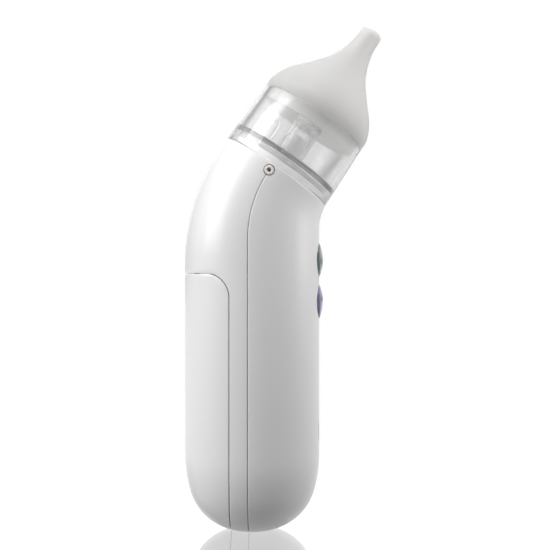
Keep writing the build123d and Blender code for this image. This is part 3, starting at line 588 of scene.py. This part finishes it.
def collection_cup():
    """The clear cup: its wall, its floor and the chimney in the floor's middle."""
    floor_low, floor_top = CUP_FLOOR
    round_seat, over_floor, at_top = CUP_INNER
    outline = [(HEAD_RADIUS, CUP_GAP), (CUP_TOP_RADIUS, CUP_TOP), (at_top, CUP_TOP), (at_top, SKIRT_END - 1),
               (over_floor, floor_top), (CHIMNEY_RADIUS, floor_top), (CHIMNEY_RADIUS, CHIMNEY_TOP),
               (CHIMNEY_BORE, CHIMNEY_TOP), (CHIMNEY_BORE, floor_low), (round_seat, floor_low),
               (round_seat, CUP_GAP)]
    cup = revolved("collection_cup_clear", rounded(outline, 0.35), head_point, 192)
    return combine(cup, [level_mark(-1), level_mark(1)], "UNION")


def baffle_cage():
    """The clear cage over the chimney, gripping its foot and open through four windows."""
    floor = CUP_FLOOR[1] + 0.1
    inner, roof, grip = CAGE_RADIUS - CAGE_WALL, CAGE_TOP - CAGE_ROOF, CHIMNEY_RADIUS + 0.05
    outline = [(0, CAGE_TOP), (CAGE_RADIUS, CAGE_TOP), (CAGE_RADIUS, floor), (grip, floor),
               (grip, floor + 1), (inner, floor + 1), (inner, roof), (0, roof)]
    cage = revolved("baffle_cage_clear", rounded(outline, 1.2, closed=False), head_point, 96)
    windows = []
    window = rounded([(-WINDOW_HALF, WINDOW_LOW), (WINDOW_HALF, WINDOW_LOW), (WINDOW_HALF, WINDOW_HIGH),
                      (-WINDOW_HALF, WINDOW_HIGH)], 0.5)
    for turn in (0, 90):
        c, s = cos(radians(turn)), sin(radians(turn))
        rings = [[head_point(c * far - s * a, s * far + c * a, up) for a, up in window] for far in (-7, 7)]
        windows.append(skinned(f"window_{turn}", rings))
    return combine(cage, windows)


def nozzle():
    """The soft nozzle: its bell and tip, hollow inside, and the skirt that goes into the cup's rim."""
    outer = smooth_curve(NOZZLE_OUTLINE, 8)
    tip_radius = NOZZLE_OUTLINE[-1][0]
    lip = arc((tip_radius - TIP_ROUND, TIP_END - TIP_ROUND), TIP_ROUND, 0, 90, 8)
    mouth = arc((TIP_BORE + MOUTH_ROUND, TIP_END - MOUTH_ROUND), MOUTH_ROUND, 90, 180, 5)
    bell = [(r - NOZZLE_WALL, h - 0.4) for r, h in NOZZLE_OUTLINE[1:5]]
    inner = smooth_curve([(TIP_BORE, TIP_INSIDE)] + bell[::-1] + [(SKIRT_BORE, CUP_TOP - 0.6)], 8)
    foot = [(SKIRT_BORE, SKIRT_END), (SKIRT_RADIUS, SKIRT_END), (SKIRT_RADIUS, CUP_TOP + 0.1)]
    outline = outer + lip + mouth + inner + foot
    return revolved("nozzle_soft", outline, head_point, 160)


# ---------------------------------------------------------------- materials

PATCH_DETAIL, GRAIN_DETAIL = 4, 3
GRAIN_DEEP = 0.0002                  # metres
CLEAR_TINT, CLEAR_DENSITY = 0.5, 70  # how the clear plastic darkens with thickness
CLEAR_SHADOW = 0.9


def link(tree, *chain):
    """Links (node, output) to (node, input) pairs given one after another."""
    for (a, out), (b, into) in zip(chain[::2], chain[1::2]):
        tree.links.new(a.outputs[out], b.inputs[into])


def grey(value, warm=0.0):
    """A grey, a little warmer or cooler on request."""
    return (value + warm, value, value - warm)


def finish_of(name, dark, light, rough=(0.3, 0.4), patch=120.0, grain=2500.0, bump=0.05, **sockets):
    """A moulded, painted or metal finish: soft colour patches, uneven gloss and a fine surface grain."""
    material = bpy.data.materials.new(name)
    material.use_nodes = True
    tree = material.node_tree
    shader = tree.nodes["Principled BSDF"]
    place = tree.nodes.new("ShaderNodeTexCoord")
    patches = tree.nodes.new("ShaderNodeTexNoise")
    patches.inputs["Scale"].default_value = patch
    patches.inputs["Detail"].default_value = PATCH_DETAIL
    ramp = tree.nodes.new("ShaderNodeValToRGB")
    ramp.color_ramp.elements[0].position = 0.3
    ramp.color_ramp.elements[1].position = 0.7
    ramp.color_ramp.elements[0].color = (*dark, 1)
    ramp.color_ramp.elements[1].color = (*light, 1)
    gloss = tree.nodes.new("ShaderNodeMapRange")
    gloss.inputs["From Min"].default_value = 0.3
    gloss.inputs["From Max"].default_value = 0.7
    gloss.inputs["To Min"].default_value = rough[0]
    gloss.inputs["To Max"].default_value = rough[1]
    fine = tree.nodes.new("ShaderNodeTexNoise")
    fine.inputs["Scale"].default_value = grain
    fine.inputs["Detail"].default_value = GRAIN_DETAIL
    height = tree.nodes.new("ShaderNodeBump")
    height.inputs["Strength"].default_value = bump
    height.inputs["Distance"].default_value = GRAIN_DEEP
    link(tree, (place, "Object"), (patches, "Vector"), (patches, "Fac"), (ramp, "Fac"),
         (ramp, "Color"), (shader, "Base Color"), (patches, "Fac"), (gloss, "Value"),
         (gloss, "Result"), (shader, "Roughness"), (place, "Object"), (fine, "Vector"),
         (fine, "Fac"), (height, "Height"), (height, "Normal"), (shader, "Normal"))
    for socket, value in sockets.items():
        shader.inputs[socket.replace("_", " ")].default_value = value
    return material


def clear_finish(name, *args, **sockets):
    """A clear moulding, greyer where it is thicker, which also lets light through to what is inside it."""
    material = finish_of(name, *args, **sockets)
    tree = material.node_tree
    output, shader = tree.nodes["Material Output"], tree.nodes["Principled BSDF"]
    rays = tree.nodes.new("ShaderNodeLightPath")
    through = tree.nodes.new("ShaderNodeBsdfTransparent")
    through.inputs["Color"].default_value = (*grey(CLEAR_SHADOW), 1)
    mix = tree.nodes.new("ShaderNodeMixShader")
    tree.links.new(rays.outputs["Is Shadow Ray"], mix.inputs["Fac"])
    tree.links.new(shader.outputs["BSDF"], mix.inputs[1])
    tree.links.new(through.outputs["BSDF"], mix.inputs[2])
    tree.links.new(mix.outputs["Shader"], output.inputs["Surface"])
    depth = tree.nodes.new("ShaderNodeVolumeAbsorption")
    depth.inputs["Color"].default_value = (*grey(CLEAR_TINT), 1)
    depth.inputs["Density"].default_value = CLEAR_DENSITY
    tree.links.new(depth.outputs["Volume"], output.inputs["Volume"])
    return material


COATED = {"Coat_Weight": 0.5, "Coat_Roughness": 0.05}
METAL = {"Metallic": 1.0}

MATERIALS = {
    "body_plastic": finish_of(
        "moulded_body", grey(0.715), grey(0.73), (0.33, 0.35), 14, 1800, 0.015, Coat_Weight=0.15,
        Coat_Roughness=0.15,
    ),
    "clear_plastic": clear_finish(
        "clear_cup", grey(0.93), grey(0.95), (0.07, 0.10), 90, 900, 0.01, Transmission_Weight=0.85, IOR=1.49,
        Specular_IOR_Level=0.35,
    ),
    "soft_silicone": finish_of(
        "frosted_silicone", (0.70, 0.69, 0.68), (0.73, 0.725, 0.72), (0.5, 0.58), 60, 3000, 0.04,
        Transmission_Weight=0.5, IOR=1.41, Subsurface_Weight=1.0, Subsurface_Radius=(0.9, 0.87, 0.85),
        Subsurface_Scale=0.008,
    ),
    "seal_rubber": finish_of("seal_rubber", grey(0.33), grey(0.38), (0.55, 0.7), 300, 4000, 0.1),
    "seat_plastic": finish_of("seat_plastic", grey(0.66), grey(0.70), (0.4, 0.5), 60, 3000, 0.03),
    "teal_button": finish_of(
        "teal_button", (0.10, 0.145, 0.15), (0.125, 0.175, 0.18), (0.18, 0.26), 200, 3000, 0.02, **COATED
    ),
    "violet_button": finish_of(
        "violet_button", (0.13, 0.125, 0.25), (0.16, 0.155, 0.29), (0.18, 0.26), 200, 3000, 0.02, **COATED
    ),
    "stud_plastic": finish_of(
        "stud_plastic", (0.72, 0.69, 0.63), (0.78, 0.75, 0.70), (0.2, 0.3), 500, 5000, 0.05
    ),
    "dark_plastic": finish_of("dark_plastic", grey(0.02), grey(0.035), (0.4, 0.5), 300, 4000, 0.1),
    "white_plastic": finish_of(
        "white_plastic", grey(0.62, 0.01), grey(0.68, 0.01), (0.4, 0.5), 200, 3000, 0.08
    ),
    "steel": finish_of("steel", grey(0.42), grey(0.5), (0.25, 0.4), 400, 6000, 0.15, **METAL),
    "chrome_steel": finish_of("chrome_steel", grey(0.6), grey(0.66), (0.08, 0.16), 400, 6000, 0.05, **METAL),
    "brass": finish_of("brass", (0.55, 0.38, 0.14), (0.66, 0.47, 0.2), (0.2, 0.35), 400, 6000, 0.1, **METAL),
    "copper": finish_of(
        "copper_wire", (0.5, 0.2, 0.07), (0.62, 0.27, 0.11), (0.25, 0.35), 900, 7000, 0.4, **METAL
    ),
    "board": finish_of("solder_mask", (0.01, 0.09, 0.035), (0.015, 0.13, 0.05), (0.25, 0.4), 500, 5000, 0.1),
    "magnet": finish_of("ferrite", grey(0.04), grey(0.06), (0.5, 0.65), 400, 5000, 0.2),
    "paper": finish_of("cone_paper", grey(0.02), grey(0.035), (0.75, 0.9), 900, 6000, 0.5),
    "foam": finish_of("filter_felt", grey(0.72), grey(0.82), (0.85, 0.95), 900, 5000, 0.8),
    "cell_wrap": finish_of(
        "cell_wrap", (0.02, 0.05, 0.09), (0.03, 0.07, 0.12), (0.2, 0.3), 200, 4000, 0.03
    ),
    "wire_sleeve": finish_of(
        "wire_sleeve", (0.30, 0.01, 0.008), (0.36, 0.015, 0.01), (0.35, 0.45), 300, 4000, 0.05
    ),
}


def put_on(thing, body, slot, *nodes):
    """Gives a piece its finish, the body that it moves with and the CAD nodes that it stands for."""
    shade(thing)
    thing.data.materials.clear()
    thing.data.materials.append(MATERIALS[slot])
    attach(thing, body)
    if nodes:
        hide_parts(*nodes)


# ---------------------------------------------------------------- the object

def build_pieces():
    body = body_solid()
    skin = Skin(body)
    combine(body, [parting_cutter(skin), door_cutter(skin)])
    put_on(front_shell(body), "body", "body_plastic", "front_shell")
    put_on(rear_shell(body), "body", "body_plastic", "rear_shell")
    put_on(battery_door(body), "battery_door", "body_plastic", "battery_door")
    bpy.data.objects.remove(body)
    for name, z in BUTTONS.items():
        slot = "teal_button" if name == "suction" else "violet_button"
        put_on(button(name, z), f"{name}_button", slot, f"{name}_button")
    put_on(head_seat(), "body", "seat_plastic", "head_seat")
    put_on(seat_gasket(), "body", "seal_rubber", "seat_gasket")
    put_on(filter_disc(), "body", "foam", "inlet_filter")
    put_on(seat_pin(-1), "body", "stud_plastic", "seat_pins")
    put_on(seat_pin(1), "body", "stud_plastic")
    put_on(collection_cup(), "cup", "clear_plastic", "collection_cup")
    put_on(baffle_cage(), "cup", "clear_plastic", "baffle_cage")
    put_on(nozzle(), "nozzle", "soft_silicone", "nozzle_tip")


def finish_nodes():
    """Every CAD node that stays gets its own finish."""
    slots = {s["node"]: s["material_slot"] for s in frame["record"]["subparts"]}
    for name, node in frame["nodes"].items():
        node.data.materials.clear()
        node.data.materials.append(MATERIALS[slots[name]])


# ---------------------------------------------------------------- stage, light and camera

def white_far_away(material, near, far):
    """Fades a sheet's finish to plain white between two distances from the object."""
    tree = material.node_tree
    output, shader = tree.nodes["Material Output"], tree.nodes["Principled BSDF"]
    place = tree.nodes.new("ShaderNodeTexCoord")
    distance = tree.nodes.new("ShaderNodeVectorMath")
    distance.operation = "LENGTH"
    fade = tree.nodes.new("ShaderNodeMapRange")
    fade.interpolation_type = "SMOOTHSTEP"
    fade.inputs["From Min"].default_value = near
    fade.inputs["From Max"].default_value = far
    white = tree.nodes.new("ShaderNodeEmission")
    mix = tree.nodes.new("ShaderNodeMixShader")
    tree.links.new(place.outputs["Object"], distance.inputs[0])
    tree.links.new(distance.outputs["Value"], fade.inputs["Value"])
    tree.links.new(fade.outputs["Result"], mix.inputs["Fac"])
    tree.links.new(shader.outputs["BSDF"], mix.inputs[1])
    tree.links.new(white.outputs["Emission"], mix.inputs[2])
    tree.links.new(mix.outputs["Shader"], output.inputs["Surface"])
    return material


def floor():
    """A glossy white sheet, which shows the object's reflection. Returns what keeps the lamps off it."""
    mesh = bpy.data.meshes.new("floor")
    corners = [(x * FLOOR_HALF, y * FLOOR_HALF, 0) for x, y in ((-1, -1), (1, -1), (1, 1), (-1, 1))]
    mesh.from_pydata(corners, [], [(0, 1, 2, 3)])
    plane = bpy.data.objects.new("floor", mesh)
    bpy.context.scene.collection.objects.link(plane)
    plane.location.z = -FLOOR_DROP
    plane.visible_diffuse = False
    sheet = finish_of("pale_floor", grey(0.60), grey(0.61), (0.03, 0.04), 3, 400, 0.0, Metallic=1.0,
                      Emission_Color=(1, 1, 1, 1), Emission_Strength=FLOOR_GLOW)
    mesh.materials.append(white_far_away(sheet, FLOOR_NEAR, FLOOR_FAR))
    unlit = bpy.data.collections.new("unlit")
    unlit.objects.link(plane)
    unlit.collection_objects[0].light_linking.link_state = "EXCLUDE"
    return unlit


def area_light(name, place, target, size, power, spread, unlit):
    light = bpy.data.lights.new(name, "AREA")
    light.shape = "RECTANGLE"
    light.size, light.size_y = size
    light.energy = power
    light.spread = radians(spread)
    lamp = bpy.data.objects.new(name, light)
    bpy.context.scene.collection.objects.link(lamp)
    lamp.location = place
    lamp.rotation_euler = (Vector(target) - Vector(place)).to_track_quat("-Z", "Y").to_euler()
    lamp.light_linking.receiver_collection = unlit


def ramp_node(tree, stops):
    """A colour ramp of greys from (position, value) stops."""
    ramp = tree.nodes.new("ShaderNodeValToRGB")
    elements = ramp.color_ramp.elements
    elements[0].position, elements[0].color = stops[0][0], (*grey(stops[0][1]), 1)
    elements[1].position, elements[1].color = stops[-1][0], (*grey(stops[-1][1]), 1)
    for position, value in stops[1:-1]:
        elements.new(position).color = (*grey(value), 1)
    return ramp


def studio(unlit):
    """A white studio, bright behind the object and dark in front, with one dark panel, and its lamps."""
    world = bpy.data.worlds.new("studio")
    bpy.context.scene.world = world
    world.use_nodes = True
    tree = world.node_tree
    back = tree.nodes["Background"]
    place = tree.nodes.new("ShaderNodeTexCoord")
    split = tree.nodes.new("ShaderNodeSeparateXYZ")
    turn = tree.nodes.new("ShaderNodeMath")
    turn.operation = "ARCTAN2"
    round_about = tree.nodes.new("ShaderNodeMapRange")
    round_about.inputs["From Min"].default_value = -pi
    round_about.inputs["From Max"].default_value = pi
    level = tree.nodes.new("ShaderNodeMapRange")
    level.inputs["From Min"].default_value = -1
    walls = ramp_node(tree, WALLS)
    heights = ramp_node(tree, HEIGHTS)
    room = tree.nodes.new("ShaderNodeMix")
    room.data_type = "RGBA"
    ground = ramp_node(tree, GROUND)
    rays = tree.nodes.new("ShaderNodeLightPath")
    mix = tree.nodes.new("ShaderNodeMix")
    mix.data_type = "RGBA"
    mix.inputs["B"].default_value = (1, 1, 1, 1)
    tree.links.new(place.outputs["Generated"], split.inputs["Vector"])
    tree.links.new(split.outputs["Y"], turn.inputs[0])
    tree.links.new(split.outputs["X"], turn.inputs[1])
    tree.links.new(turn.outputs[0], round_about.inputs["Value"])
    tree.links.new(split.outputs["Z"], level.inputs["Value"])
    tree.links.new(round_about.outputs["Result"], walls.inputs["Fac"])
    tree.links.new(level.outputs["Result"], heights.inputs["Fac"])
    tree.links.new(level.outputs["Result"], ground.inputs["Fac"])
    tree.links.new(ground.outputs["Color"], room.inputs["A"])
    tree.links.new(walls.outputs["Color"], room.inputs["B"])
    tree.links.new(heights.outputs["Color"], room.inputs["Factor"])
    tree.links.new(room.outputs["Result"], mix.inputs["A"])
    tree.links.new(rays.outputs["Is Camera Ray"], mix.inputs["Factor"])
    tree.links.new(mix.outputs["Result"], back.inputs["Color"])
    for name, settings in LAMPS.items():
        area_light(name, *settings, unlit)


def camera():
    distance = 0.29
    view_width = 0.1826
    middle = (-0.0075, 0.0838)
    lens = bpy.data.cameras.new("camera")
    lens.sensor_width = 36
    lens.lens = 36 * distance / view_width
    eye = bpy.data.objects.new("camera", lens)
    bpy.context.scene.collection.objects.link(eye)
    eye.location = (-distance, *middle)
    eye.rotation_euler = (radians(90), 0, radians(-90))
    bpy.context.scene.camera = eye


build_pieces()
finish_nodes()
studio(floor())
camera()
bpy.context.scene.view_settings.view_transform = "Standard"
